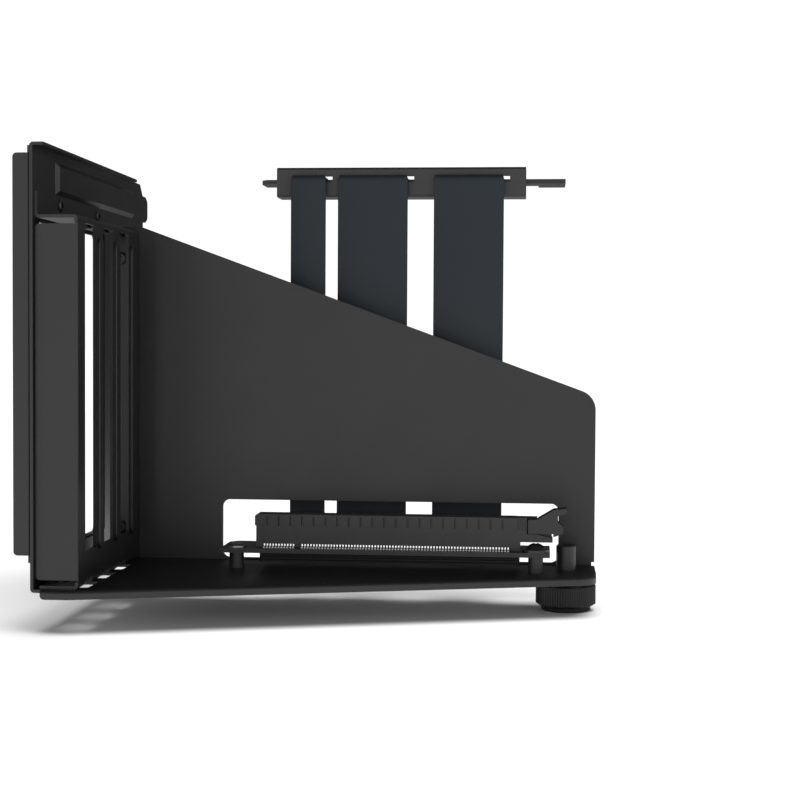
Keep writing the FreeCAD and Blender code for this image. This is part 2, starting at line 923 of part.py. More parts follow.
def slot_housing():
    near_y, far_y = socket_side(-1), socket_side(1)
    end_near_y = near_y + socket_ledge_step + socket_end_step
    end_far_y = far_y - socket_ledge_step - socket_end_step
    lower = block(
        socket_left_x + socket_foot,
        socket_right_x - socket_foot,
        near_y + socket_ledge_step,
        far_y - socket_ledge_step,
        socket_under_z,
        socket_ledge_z,
    )
    upper = along_y(
        [
            (socket_left_x, socket_ledge_z),
            (socket_right_x, socket_ledge_z),
            (socket_right_x, socket_top_z),
            (socket_left_x + 2 * socket_ledge_step, socket_top_z),
            (socket_left_x, socket_top_z - 2 * socket_ledge_step),
        ],
        near_y,
        far_y,
    )
    left_foot = block(
        socket_left_x + socket_ledge_step,
        socket_left_x + socket_foot,
        end_near_y,
        end_far_y,
        board_top_z,
        socket_ledge_z,
    )
    right_foot = block(
        socket_right_x - socket_foot,
        socket_right_x + socket_foot_over,
        end_near_y,
        end_far_y,
        board_top_z,
        socket_ledge_z,
    )
    tower = block(
        socket_right_x, tower_right_x, end_near_y, end_far_y, cheek_low_z, socket_top_z
    )
    end_wall = block(
        socket_right_x,
        end_wall_right_x,
        end_far_y - end_wall_thick,
        end_far_y,
        cheek_top_z - cheek_gap,
        socket_top_z,
    )
    keel = block(
        socket_left_x + socket_foot,
        socket_right_x - socket_foot,
        socket_mid_y - socket_keel / 2,
        socket_mid_y + socket_keel / 2,
        board_top_z,
        socket_under_z,
    )
    ribs = []
    rib_x = socket_right_x + tower_rib_pitch
    while rib_x + tower_rib_width < tower_right_x:
        ribs.append(
            block(
                rib_x,
                rib_x + tower_rib_width,
                near_y + socket_ledge_step,
                far_y - socket_ledge_step,
                cheek_top_z,
                socket_top_z - rib_below_top,
            )
        )
        rib_x += tower_rib_pitch
    drop = math.tan(math.radians(latch_open_deg))
    slope_start_x = latch_pivot_x + cheek_gap
    cheeks = along_y(
        [
            (socket_right_x - socket_foot, cheek_low_z),
            (cheek_right_x, cheek_low_z),
            (cheek_right_x, cheek_top_z - (cheek_right_x - slope_start_x) * drop - cheek_gap),
            (slope_start_x, cheek_top_z - cheek_gap),
            (latch_pivot_x - cheek_shoulder, cheek_top_z - cheek_gap),
            (latch_pivot_x - cheek_shoulder, socket_ledge_z),
            (socket_right_x - socket_foot, socket_ledge_z),
        ],
        near_y + socket_ledge_step,
        far_y - socket_ledge_step,
    )
    body = one([lower, keel, upper, left_foot, right_foot, cheeks, tower, end_wall] + ribs)
    key = block(
        key_centre_x - plug_key_width / 2 + hole_play,
        key_centre_x + plug_key_width / 2 - hole_play,
        socket_mid_y - card_gap,
        socket_mid_y + card_gap,
        socket_top_z - card_depth - 1,
        socket_top_z - card_mouth_depth,
    )
    gap_left_x = contact_first_x - contact_pitch
    gap_right_x = contact_places[-1] + contact_pitch
    half = card_gap / 2
    gap = block(
        gap_left_x,
        gap_right_x,
        socket_mid_y - half,
        socket_mid_y + half,
        socket_top_z - card_depth,
        socket_top_z + 1,
    )
    mouth = along_x(
        [
            (socket_mid_y - card_mouth / 2, socket_top_z),
            (socket_mid_y - half, socket_top_z - card_mouth_depth),
            (socket_mid_y + half, socket_top_z - card_mouth_depth),
            (socket_mid_y + card_mouth / 2, socket_top_z),
        ],
        gap_left_x,
        gap_right_x,
    )
    cuts = [gap.cut(key), mouth]
    count = int((socket_right_x - socket_left_x) / notch_pitch)
    for n in range(1, count):
        notch_x = socket_left_x + n * notch_pitch
        for y in (near_y, far_y - notch_depth):
            cuts.append(
                block(
                    notch_x,
                    notch_x + notch_width,
                    y,
                    y + notch_depth,
                    socket_ledge_z,
                    socket_top_z - notch_below_top,
                )
            )
    stem_half = latch_stem_width / 2 + cheek_gap
    cuts.append(
        block(
            latch_pivot_x - cheek_slot,
            cheek_right_x + 1,
            socket_mid_y - stem_half,
            socket_mid_y + stem_half,
            cheek_low_z - 1,
            cheek_top_z + 1,
        )
    )
    cuts.append(rod_y(latch_boss_r + latch_play, near_y, far_y, latch_pivot_x, latch_pivot_z))
    return body.cut(cuts)


def slot_contacts(side):
    """One row of contact tails, bent outwards onto the board."""
    wall_y = socket_mid_y + side * (socket_width / 2 - socket_ledge_step - contact_thick)
    knee_y = wall_y + side * contact_thick
    toe_y = wall_y + side * contact_toe
    row = []
    for x in contact_places:
        corners = [
            (wall_y, board_top_z),
            (toe_y, board_top_z),
            (toe_y, board_top_z + contact_thick),
            (knee_y, board_top_z + contact_thick),
            (knee_y, socket_under_z),
            (wall_y, socket_under_z),
        ]
        row.append(along_x(corners, x - contact_width / 2, x + contact_width / 2))
    return row


def slot_latch():
    arm = [(latch_pivot_x + c[0], cheek_top_z + c[1], *c[2:]) for c in latch_arm]
    arm.append((latch_pivot_x + latch_heel_x, cheek_top_z))
    body = along_y(arm, socket_mid_y - latch_width / 2, socket_mid_y + latch_width / 2)
    half = latch_stem_width / 2
    stem_half, tip_half = latch_stem_x / 2, latch_tip_x / 2
    stem_top_z = cheek_top_z + latch_stem_x / 2
    stem = along_y(
        [
            (latch_pivot_x - stem_half, stem_top_z),
            (latch_pivot_x - stem_half, latch_pivot_z - latch_tip_start),
            (latch_pivot_x - tip_half, latch_pivot_z - latch_tip_end),
            (latch_pivot_x + tip_half, latch_pivot_z - latch_tip_end),
            (latch_pivot_x + stem_half, latch_pivot_z - latch_tip_start),
            (latch_pivot_x + stem_half, stem_top_z),
        ],
        socket_mid_y - half,
        socket_mid_y + half,
    )
    boss_half = socket_width / 2 - socket_ledge_step
    bosses = rod_y(
        latch_boss_r, socket_mid_y - boss_half, socket_mid_y + boss_half, latch_pivot_x, latch_pivot_z
    )
    overhang = block(
        latch_pivot_x + latch_heel_x,
        cheek_right_x + cheek_gap,
        socket_mid_y - latch_width,
        socket_mid_y + latch_width,
        cheek_low_z,
        cheek_top_z,
    )
    web = block(
        latch_pivot_x,
        latch_pivot_x + latch_web_x,
        socket_mid_y - half,
        socket_mid_y + half,
        cheek_top_z - latch_web_drop,
        stem_top_z,
    )
    far_y = socket_side(1) - socket_ledge_step - socket_end_step
    shoulder = block(
        socket_right_x,
        end_wall_right_x + end_wall_gap,
        far_y - end_wall_thick - end_wall_gap,
        socket_mid_y + latch_width,
        cheek_low_z,
        socket_top_z + latch_width,
    )
    return one([body.cut([overhang, shoulder]), stem, web, bosses])


# Cover under the riser board, with a channel for each ribbon
def lower_cover():
    outline = rectangle(cover_left_x, cover_right_x, cover_front_y, cover_far_y, cover_r)
    plate = along_z(outline, cover_low_z, board_low_z)
    channels = [
        block(
            left - ribbon_play,
            right + ribbon_play,
            ribbon_start_y - ribbon_play,
            cover_far_y + 1,
            board_low_z - ribbon_thick - ribbon_play,
            board_low_z + 1,
        )
        for left, right in ribbon_spans
    ]
    grooves = [
        block(
            cover_left_x - 1,
            cover_right_x + 1,
            cover_front_y - 1,
            cover_front_y + cover_groove_depth,
            board_low_z - end,
            board_low_z - start,
        )
        for start, end in cover_grooves
    ]
    return plate.cut(channels + grooves)


# Ribbons: from under the board, through the window, up behind the panel and into the plug
def ribbon(left, right):
    half = ribbon_thick / 2
    inner_y, outer_y = ribbon_run_y - half, ribbon_run_y + half
    corners = [
        (ribbon_start_y, ribbon_low_z - half),
        (outer_y, ribbon_low_z - half, ribbon_low_r + half),
        (outer_y, ribbon_high_z - half, ribbon_high_r - half),
        (ribbon_end_y, ribbon_high_z - half),
        (ribbon_end_y, ribbon_high_z + half),
        (inner_y, ribbon_high_z + half, ribbon_high_r + half),
        (inner_y, ribbon_low_z + half, ribbon_low_r - half),
        (ribbon_start_y, ribbon_low_z + half),
    ]
    return along_x(corners, left, right)


def ribbon_length():
    """The length of a ribbon along its middle."""
    quarter = math.pi / 2
    low = ribbon_run_y - ribbon_low_r - ribbon_start_y
    rise = ribbon_high_z - ribbon_low_z - ribbon_low_r - ribbon_high_r
    high = ribbon_end_y - ribbon_run_y - ribbon_high_r
    return low + rise + high + quarter * (ribbon_low_r + ribbon_high_r)


# Plug: a shell in two halves round a board with an edge tongue
def plug_board():
    tongue_right_x = (
        plug_tongue_left_x + plug_tongue_short + plug_key_width + plug_tongue_long
    )
    key_left_x = plug_tongue_left_x + plug_tongue_short
    outline = [
        (plug_board_left_x + plug_ear_chamfer, plug_board_near_y),
        (plug_board_right_x, plug_board_near_y),
        (plug_board_right_x, plug_ear_far_y + plug_hook_reach),
        (plug_hook_x + plug_hook_gap, plug_ear_far_y + plug_hook_reach),
        (plug_hook_x + plug_hook_gap, plug_ear_far_y - plug_hook_root),
        (tongue_right_x, plug_ear_far_y - plug_hook_root),
        (tongue_right_x, plug_tongue_far_y - plug_tongue_chamfer),
        (tongue_right_x - plug_tongue_chamfer, plug_tongue_far_y),
        (key_left_x + plug_key_width, plug_tongue_far_y),
        (key_left_x + plug_key_width, plug_ear_far_y - plug_key_root),
        (key_left_x, plug_ear_far_y - plug_key_root),
        (key_left_x, plug_tongue_far_y),
        (plug_tongue_left_x + plug_tongue_chamfer, plug_tongue_far_y),
        (plug_tongue_left_x, plug_tongue_far_y - plug_tongue_chamfer),
        (plug_tongue_left_x, plug_ear_far_y),
        (plug_board_left_x, plug_ear_far_y),
        (plug_board_left_x, plug_board_near_y + plug_ear_chamfer),
    ]
    return along_z(outline, plug_board_low_z, plug_board_top_z)


def shell_half(low_z, high_z):
    """One half of the plug's shell, with its long outer edges bevelled."""
    lower = low_z == shell_low_z
    edge_low = shell_edge if lower else 0.0
    edge_high = 0.0 if lower else shell_edge
    side = [
        (shell_near_y + edge_low, low_z),
        (shell_far_y - edge_low, low_z),
        (shell_far_y, low_z + edge_low),
        (shell_far_y, high_z - edge_high),
        (shell_far_y - edge_high, high_z),
        (shell_near_y + edge_high, high_z),
        (shell_near_y, high_z - edge_high),
        (shell_near_y, low_z + edge_low),
    ]
    kept = [p for n, p in enumerate(side) if p != side[n - 1]]
    return along_x(kept, shell_left_x, shell_right_x)


def shell_cavity():
    """The room that the shell leaves for the board."""
    return block(
        shell_left_x - 1,
        shell_right_x + 1,
        plug_board_near_y,
        shell_far_y + 1,
        plug_board_low_z,
        plug_board_top_z,
    )


def shell_lower():
    slots = []
    for left, right in ribbon_spans:
        slot_left, slot_right = left - ribbon_play, right + ribbon_slot_spare
        slots.append(
            block(
                slot_left,
                slot_right,
                shell_near_y - 1,
                plug_board_near_y,
                ribbon_slot_low_z,
                plug_part_z + 1,
            )
        )
        slots.append(
            block(
                slot_left,
                slot_right,
                shell_near_y,
                shell_far_y + 1,
                plug_board_top_z,
                plug_part_z + 1,
            )
        )
    return shell_half(shell_low_z, plug_part_z).cut([shell_cavity()] + slots)


def shell_upper():
    channels = [
        block(
            left - ribbon_play,
            right + ribbon_slot_spare,
            shell_near_y + shell_wall,
            shell_far_y + 1,
            plug_part_z - 1,
            ribbon_slot_high_z,
        )
        for left, right in ribbon_spans
    ]
    return shell_half(plug_part_z, shell_high_z).cut(channels)


def plug_fingers(low_z):
    """One row of contact fingers on a face of the plug's tongue."""
    first_x = plug_tongue_left_x + contact_pitch / 2 + finger_inset / 2
    shift = first_x - contact_places[0]
    far_y = plug_tongue_far_y - finger_edge
    return [
        block(
            x + shift - finger_width / 2,
            x + shift + finger_width / 2,
            far_y - finger_length,
            far_y,
            low_z,
            low_z + finger_thick,
        )
        for x in contact_places
    ]


# Levelling foot: bush, stud, knurled knob and rubber pad
def foot_bush():
    profile = [
        (stud_r + stud_play, base_low_z),
        (bush_shank_r, base_low_z),
        (bush_shank_r, base_top_z),
        (bush_r, base_top_z),
        (bush_r, bush_top_z - knob_edge),
        (bush_r - knob_edge, bush_top_z),
        (stud_r + stud_play, bush_top_z),
    ]
    return turned(profile, foot_x, foot_y)


def foot_stud():
    profile = [
        (0, stud_low_z),
        (stud_r, stud_low_z),
        (stud_r, stud_top_z - knob_edge),
        (stud_r - knob_edge, stud_top_z),
        (0, stud_top_z),
    ]
    return turned(profile, foot_x, foot_y)


def foot_knob():
    body = turned(
        [
            (stud_r, stud_low_z),
            (stud_r, knob_top_z),
            (knob_r - knob_edge, knob_top_z),
            (knob_r, knob_top_z - knob_edge),
            (knob_r, knob_side_low_z),
            (knob_low_r, knob_low_z),
            (pad_stem_r + pad_gap / 2, knob_low_z),
            (pad_stem_r + pad_gap / 2, knob_low_z + pad_neck_h - pad_gap),
            (pad_head_r + pad_gap, knob_low_z + pad_neck_h - pad_gap),
            (pad_head_r + pad_gap, knob_low_z + pad_neck_h + pad_head_h + pad_gap),
            (0, knob_low_z + pad_neck_h + pad_head_h + pad_gap),
            (0, stud_low_z),
        ],
        foot_x,
        foot_y,
    )
    points = []
    for n in range(2 * flute_count):
        radius = knob_r - flute_depth * (n % 2)
        angle = math.pi * n / flute_count
        points.append((foot_x + radius * math.cos(angle), foot_y + radius * math.sin(angle)))
    return body.common(along_z(points, knob_low_z, knob_top_z))


def foot_pad():
    stem_top_z = knob_low_z + pad_neck_h
    profile = [
        (0, pad_low_z),
        (pad_r - knob_edge, pad_low_z),
        (pad_r, pad_low_z + knob_edge),
        (pad_r, knob_low_z - pad_gap),
        (pad_stem_r, knob_low_z - pad_gap),
        (pad_stem_r, stem_top_z),
        (pad_head_r, stem_top_z),
        (pad_head_r, stem_top_z + pad_head_h),
        (0, stem_top_z + pad_head_h),
    ]
    return turned(profile, foot_x, foot_y)


def build():
    """Every node of the mount: a solid, or a list of solids for a group."""
    nodes = {
        "bracket": bracket(),
        "slot_frame": slot_frame(),
        "rear_plate": rear_plate(),
        "wall_rivets": wall_rivets(),
        "panel_rivets": panel_rivets(),
        "base_rivets": base_rivets(),
        "riser_board": riser_board(),
        "standoff_left": standoff(standoff_x[0]),
        "standoff_right": standoff(standoff_x[1]),
        "board_screw_left": left_screw(),
        "board_screw_right": right_screw(),
        "board_washer": right_washer(),
        "slot_housing": slot_housing(),
        "slot_contacts_near": slot_contacts(-1),
        "slot_contacts_far": slot_contacts(1),
        "slot_latch": slot_latch(),
        "lower_cover": lower_cover(),
        "plug_board": plug_board(),
        "plug_shell_lower": shell_lower(),
        "plug_shell_upper": shell_upper(),
        "plug_fingers_upper": plug_fingers(plug_board_top_z),
        "plug_fingers_lower": plug_fingers(plug_board_low_z - finger_thick),
        "foot_bush": foot_bush(),
        "foot_stud": foot_stud(),
        "foot_knob": foot_knob(),
        "foot_pad": foot_pad(),
    }
    for number, (left, right) in enumerate(ribbon_spans, start=1):
        nodes[f"ribbon_{number}"] = ribbon(left, right)
    return nodes


def main():
    os.makedirs("parts", exist_ok=True)
    for name, solids in build().items():
        shape = Part.makeCompound(solids) if isinstance(solids, list) else solids
        shape.exportStep(f"parts/{name}.step")
        count = len(shape.Solids)
        print(f"{name}: {count} solid(s), {shape.Volume:.1f} mm3, valid {shape.isValid()}")
    print(f"ribbon length {ribbon_length():.1f} mm")
    print(f"ribbon radii {ribbon_low_r} and {ribbon_high_r} mm")


main()
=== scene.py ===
# %% [markdown]
# An upright mount for an expansion card, dressed for its picture. The measured model comes first:
# every plate, rivet and screw is already the right size and in the right place, so it is loaded as a
# fixed frame. What is left to do here is the camera, the light, the finishes, and the pieces that
# bend or repeat finely.

# %% Load the measured frame
import math

import bpy
from mathutils import Matrix, Vector


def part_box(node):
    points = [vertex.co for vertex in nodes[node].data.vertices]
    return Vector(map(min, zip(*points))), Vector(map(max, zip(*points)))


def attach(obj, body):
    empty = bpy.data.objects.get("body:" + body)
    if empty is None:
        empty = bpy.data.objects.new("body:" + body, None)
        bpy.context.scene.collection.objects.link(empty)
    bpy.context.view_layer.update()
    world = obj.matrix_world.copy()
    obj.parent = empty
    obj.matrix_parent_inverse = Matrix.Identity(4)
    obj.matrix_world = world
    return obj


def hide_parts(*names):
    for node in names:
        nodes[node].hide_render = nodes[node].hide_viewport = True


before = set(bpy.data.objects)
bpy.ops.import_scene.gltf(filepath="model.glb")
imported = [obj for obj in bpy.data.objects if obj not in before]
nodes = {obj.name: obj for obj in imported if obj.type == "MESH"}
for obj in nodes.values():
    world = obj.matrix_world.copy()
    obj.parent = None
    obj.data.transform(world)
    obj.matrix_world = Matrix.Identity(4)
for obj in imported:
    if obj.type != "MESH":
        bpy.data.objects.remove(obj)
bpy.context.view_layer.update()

MM = 0.001

# %% [markdown]
# The photograph looks almost straight at the panel, a little down and from just right of the middle.
# A camera could be aimed by eye with a Track To constraint, but the edges of the part give its place
# exactly, so the measured place, turn, tilt and roll are written down and the camera's axes are built
# from them. A 72 mm lens on a 36 mm sensor has the gentle perspective of a product shot.

# %% Camera
CAMERA_PLACE = Vector((158.0, -555.8, 4.1)) * MM
CAMERA_YAW = math.radians(5.06)
CAMERA_PITCH = math.radians(2.02)
CAMERA_ROLL = math.radians(-0.33)
CAMERA_LENS = 71.74
SENSOR_WIDTH = 36.0
NEAREST_SEEN = 0.01
FARTHEST_SEEN = 50.0

forward = Vector((
    -math.sin(CAMERA_YAW) * math.cos(CAMERA_PITCH),
    math.cos(CAMERA_YAW) * math.cos(CAMERA_PITCH),
    -math.sin(CAMERA_PITCH),
))
level_right = Vector((math.cos(CAMERA_YAW), math.sin(CAMERA_YAW), 0.0))
level_down = forward.cross(level_right)
right = level_right * math.cos(CAMERA_ROLL) + level_down * math.sin(CAMERA_ROLL)
down = level_down * math.cos(CAMERA_ROLL) - level_right * math.sin(CAMERA_ROLL)

bpy.ops.object.select_all(action="DESELECT")
bpy.ops.object.camera_add()
camera = bpy.context.object
camera.name = "photo_camera"
camera.data.lens = CAMERA_LENS
camera.data.sensor_width = SENSOR_WIDTH
camera.data.clip_start = NEAREST_SEEN
camera.data.clip_end = FARTHEST_SEEN
axes = Matrix((right, -down, -forward)).transposed().to_4x4()
camera.matrix_world = Matrix.Translation(CAMERA_PLACE) @ axes
bpy.context.scene.camera = camera
print("camera stands", round(-CAMERA_PLACE.y, 3), "m in front of the panel")

# %% [markdown]
# The picture stands on a white floor that runs on into a white wall. One large plane is enough, as
# its edges are too far away to show. The mount is dark and a little glossy, so what shows on it is
# mostly what it mirrors, and its side faces mirror the floor far behind it. They should be nearly
# black. A dark floor would show in the picture, so a Light Path node keeps it white for the camera,
# and for all other rays it fades to dark behind.

# %% Floor
FLOOR_Z = -86.4 * MM
FLOOR_SIZE = 30.0
FLOOR_WHITE = 0.86
FLOOR_BEHIND = 0.02
FLOOR_ROUGHNESS = 0.9
FADE_START_Y = 0.20
FADE_END_Y = 0.48


def plain_finish(name, colour, roughness):
    """A new node material; returns it with its shader and node tree."""
    material = bpy.data.materials.new(name)
    material.use_nodes = True
    shader = material.node_tree.nodes["Principled BSDF"]
    shader.inputs["Base Color"].default_value = (*colour, 1.0)
    shader.inputs["Roughness"].default_value = roughness
    return material, shader, material.node_tree


def add_node(tree, kind, **values):
    """A shader node with its inputs set by name."""
    node = tree.nodes.new(kind)
    for key, value in values.items():
        node.inputs[key.replace("_", " ")].default_value = value
    return node


bpy.ops.mesh.primitive_plane_add(size=FLOOR_SIZE, location=(0.0, 0.0, FLOOR_Z))
floor = bpy.context.object
floor.name = "floor"
floor_finish, floor_shader, floor_tree = plain_finish("white_sweep", (FLOOR_WHITE,) * 3, FLOOR_ROUGHNESS)
floor.data.materials.append(floor_finish)
floor_place = add_node(floor_tree, "ShaderNodeTexCoord")
floor_parts = add_node(floor_tree, "ShaderNodeSeparateXYZ")
floor_thrown = add_node(
    floor_tree, "ShaderNodeMapRange",
    From_Min=FADE_START_Y, From_Max=FADE_END_Y, To_Min=FLOOR_WHITE, To_Max=FLOOR_BEHIND,
)
floor_ray = add_node(floor_tree, "ShaderNodeLightPath")
floor_shown = add_node(floor_tree, "ShaderNodeMapRange", To_Max=FLOOR_WHITE)
floor_tree.links.new(floor_place.outputs["Object"], floor_parts.inputs["Vector"])
floor_tree.links.new(floor_parts.outputs["Y"], floor_thrown.inputs["Value"])
floor_tree.links.new(floor_thrown.outputs["Result"], floor_shown.inputs["To Min"])
floor_tree.links.new(floor_ray.outputs["Is Camera Ray"], floor_shown.inputs["Value"])
floor_tree.links.new(floor_shown.outputs["Result"], floor_shader.inputs["Base Color"])
print("floor lies at", round(FLOOR_Z / MM, 1), "mm")

# %% [markdown]
# The shadow under the base is soft and falls a little to the left. An area light could throw it, but
# it would fade towards its own edges. A sun has the same strength all over the floor: its angle sets
# how soft the shadow is, and its tilt where it falls. Light linking keeps it off the mount, which is
# lit by the room alone.

# %% Sun for the shadow
SUN_PLACE = (0.0, 0.0, 2.0)
SUN_STRENGTH = 3.6
SUN_ANGLE = math.radians(56.0)
SUN_TILT = (math.radians(4.0), math.radians(9.0), 0.0)

bpy.ops.object.light_add(type="SUN", location=SUN_PLACE)
overhead = bpy.context.object
overhead.name = "overhead_light"
overhead.data.energy = SUN_STRENGTH
overhead.data.angle = SUN_ANGLE
overhead.rotation_euler = SUN_TILT
lit_from_above = bpy.data.collections.new("lit_from_above")
lit_from_above.objects.link(floor)
overhead.light_linking.receiver_collection = lit_from_above

# %% [markdown]
# The upright faces at the front mirror the room before them and look grey. The base and the wall
# beside the panel mirror the mount itself and what is behind it, and are nearly black, and every
# rounded edge catches a bright line. Area lights could do this, but each would need its own place and
# size. A room painted on the world by direction does it at once: its wall is white up to a little
# above eye level, under a dim ceiling. Only the back is dark, where those faces look. Its left part
# is white again, since none of them sees it, and it shows the mount's own back in other views. To the
# camera the whole room is plain white.

# %% White room
FRONT_STRENGTH = 1.3
BACK_STRENGTH = 0.07
BACK_LEFT_STRENGTH = 1.0
CEILING_STRENGTH = 0.16
SEEN_STRENGTH = 1.05
# Where one part of the room goes over into the next, on the direction's X, Y and Z
LEFT_EDGE = (-0.75, -0.40)
BACK_EDGE = (0.15, 0.70)
CEILING_EDGE = (0.22, 0.55)

world = bpy.data.worlds.new("white_wall_room")
bpy.context.scene.world = world
world.use_nodes = True
room = world.node_tree
background = room.nodes["Background"]
background.inputs["Color"].default_value = (1.0, 1.0, 1.0, 1.0)


def room_edge(edge, **strengths):
    """A node that goes from one strength to another across an edge of the room."""
    return add_node(room, "ShaderNodeMapRange", From_Min=edge[0], From_Max=edge[1], **strengths)


direction = add_node(room, "ShaderNodeTexCoord")
parts = add_node(room, "ShaderNodeSeparateXYZ")
back_strength = room_edge(LEFT_EDGE, To_Min=BACK_LEFT_STRENGTH, To_Max=BACK_STRENGTH)
wall_strength = room_edge(BACK_EDGE, To_Min=FRONT_STRENGTH)
wall_light = room_edge(CEILING_EDGE, To_Max=CEILING_STRENGTH)
ray_kind = add_node(room, "ShaderNodeLightPath")
seen_wall = add_node(room, "ShaderNodeMapRange", To_Max=SEEN_STRENGTH)
room.links.new(direction.outputs["Generated"], parts.inputs["Vector"])
room.links.new(parts.outputs["X"], back_strength.inputs["Value"])
room.links.new(parts.outputs["Y"], wall_strength.inputs["Value"])
room.links.new(parts.outputs["Z"], wall_light.inputs["Value"])
room.links.new(back_strength.outputs["Result"], wall_strength.inputs["To Max"])
room.links.new(wall_strength.outputs["Result"], wall_light.inputs["To Min"])
room.links.new(wall_light.outputs["Result"], seen_wall.inputs["To Min"])
room.links.new(ray_kind.outputs["Is Camera Ray"], seen_wall.inputs["Value"])
room.links.new(seen_wall.outputs["Result"], background.inputs["Strength"])
bpy.context.scene.view_settings.view_transform = "Standard"
print("room:", len(room.nodes), "nodes")

# %% [markdown]
# Most of the mount is steel with a fine black powder coat. Baked powder never lies quite flat: it has
# a tiny orange-peel grain, less than a millimetre across, and its gloss drifts over the sheet. A
# photograph of such a sheet could be wrapped round it, but noise on Object coordinates gives both at
# real scale and has no seams: a broad noise drives colour and gloss, and a fine one drives the bump.

# %% Grained finish
COLOUR_BAND = (0.35, 0.65)
GLOSS_BAND = (0.3, 0.7)
# Each grain: scale of the broad noise, scale of the fine noise, strength of the bump, its depth in metres
POWDER_GRAIN = (40.0, 1600.0, 0.25, 0.00012)


def drift_colour(tree, shader, place, dark, light, scale):
    """Broad, faint changes of colour over the surface."""
    noise = add_node(tree, "ShaderNodeTexNoise", Scale=scale, Detail=4.0, Roughness=0.55)
    ramp = add_node(tree, "ShaderNodeValToRGB")
    for stop, position, colour in zip(ramp.color_ramp.elements, COLOUR_BAND, (dark, light)):
        stop.position = position
        stop.color = (*colour, 1.0)
    tree.links.new(place, noise.inputs["Vector"])
    tree.links.new(noise.outputs["Fac"], ramp.inputs["Fac"])
    tree.links.new(ramp.outputs["Color"], shader.inputs["Base Color"])
    return noise


def drift_gloss(tree, shader, noise, low, high):
    """Gloss that follows the same broad noise."""
    gloss = add_node(
        tree, "ShaderNodeMapRange", From_Min=GLOSS_BAND[0], From_Max=GLOSS_BAND[1], To_Min=low, To_Max=high
    )
    tree.links.new(noise.outputs["Fac"], gloss.inputs["Value"])
    tree.links.new(gloss.outputs["Result"], shader.inputs["Roughness"])


def raise_bump(tree, shader, place, pattern, strength, depth):
    """Raises the surface a little where the pattern is light."""
    bump = add_node(tree, "ShaderNodeBump", Strength=strength, Distance=depth)
    tree.links.new(place, pattern.inputs["Vector"])
    tree.links.new(pattern.outputs["Fac"], bump.inputs["Height"])
    tree.links.new(bump.outputs["Normal"], shader.inputs["Normal"])


def grained_finish(name, dark, light, gloss, grain, metal=0.0, shine=0.5):
    """A finish with drifting colour and gloss and a fine grain."""
    broad_scale, fine_scale, strength, depth = grain
    material, shader, tree = plain_finish(name, light, gloss[0])
    shader.inputs["Metallic"].default_value = metal
    shader.inputs["Specular IOR Level"].default_value = shine
    place = add_node(tree, "ShaderNodeTexCoord").outputs["Object"]
    broad_noise = drift_colour(tree, shader, place, dark, light, broad_scale)
    drift_gloss(tree, shader, broad_noise, *gloss)
    fine_noise = add_node(tree, "ShaderNodeTexNoise", Scale=fine_scale, Detail=2.0, Roughness=0.5)
    raise_bump(tree, shader, place, fine_noise, strength, depth)
    return material


def grey(value):
    """A colour with no hue."""
    return (value,) * 3


powder_coat = grained_finish("powder_coat", grey(0.0085), grey(0.0105), (0.38, 0.46), POWDER_GRAIN)
print("made", powder_coat.name)

# %% [markdown]
# The small pieces are of other stuff: blackened rivets, turned standoffs, one zinc-plated screw,
# moulded plastic, the boards' solder mask, tinned tails, gilt fingers, an anodised knob and its
# rubber pad. Each could have a node tree of its own, but they differ only in colour, gloss and grain,
# so the same finish takes other values. The mouldings at the socket and the plug each have their own
# black, as on the real one. The moulding under the board is a far less shiny copy of the socket's
# black, so it shows darker: this is painted shade for the shadow under the board's overhanging edge.

# %% Finishes of the small pieces
STEEL_GRAIN = (300.0, 2400.0, 0.15, 0.00006)
ZINC_GRAIN = (400.0, 2600.0, 0.12, 0.00005)
MOULD_GRAIN = (120.0, 3200.0, 0.18, 0.00006)
MASK_GRAIN = (90.0, 900.0, 0.1, 0.00005)
TIN_GRAIN = (900.0, 5000.0, 0.1, 0.00003)
GILT_GRAIN = (700.0, 5000.0, 0.08, 0.00003)
ANODISED_GRAIN = (200.0, 2600.0, 0.15, 0.00006)
RUBBER_GRAIN = (150.0, 1800.0, 0.3, 0.0001)

blackened_steel = grained_finish("blackened_steel", grey(0.006), grey(0.009), (0.24, 0.34), STEEL_GRAIN)
turned_steel = grained_finish("turned_steel", grey(0.013), grey(0.017), (0.34, 0.44), STEEL_GRAIN)
zinc_plate = grained_finish(
    "zinc_plate", grey(0.26), (0.34, 0.34, 0.33), (0.30, 0.42), ZINC_GRAIN, metal=1.0
)
moulded_black = grained_finish(
    "moulded_black", (0.0145, 0.0145, 0.0148), (0.0170, 0.0170, 0.0173), (0.42, 0.52), MOULD_GRAIN,
    shine=0.48,
)
shell_black = grained_finish("shell_black", grey(0.022), grey(0.026), (0.42, 0.52), MOULD_GRAIN)
# Painted shade: the socket's black made far less shiny, so the cover under the board shows darker, as if
# in the board's shadow
painted_shade_moulding = grained_finish(
    "painted_shade_moulding", grey(0.014), grey(0.018), (0.5, 0.6), MOULD_GRAIN, shine=0.14
)
solder_mask = grained_finish(
    "solder_mask", (0.007, 0.007, 0.0075), (0.010, 0.010, 0.0105), (0.34, 0.46), MASK_GRAIN, shine=0.45
)
tinned = grained_finish(
    "tinned", (0.82, 0.82, 0.81), (0.92, 0.92, 0.91), (0.14, 0.22), TIN_GRAIN, metal=1.0
)
gilt = grained_finish("gilt", (0.70, 0.47, 0.16), (0.83, 0.60, 0.26), (0.2, 0.3), GILT_GRAIN, metal=1.0)
anodised = grained_finish("anodised", grey(0.006), grey(0.008), (0.36, 0.46), ANODISED_GRAIN, shine=0.33)
pad_rubber = grained_finish("pad_rubber", grey(0.012), grey(0.018), (0.75, 0.88), RUBBER_GRAIN, shine=0.2)
print("finishes:", len(bpy.data.materials))

# %% [markdown]
# Each node now takes its finish. The nodes could be dressed one by one, but a table from finish to
# nodes reads like a parts list, and a node that was forgotten shows up at once in what is printed.
# Only the ribbons should be left, because they are made further down.

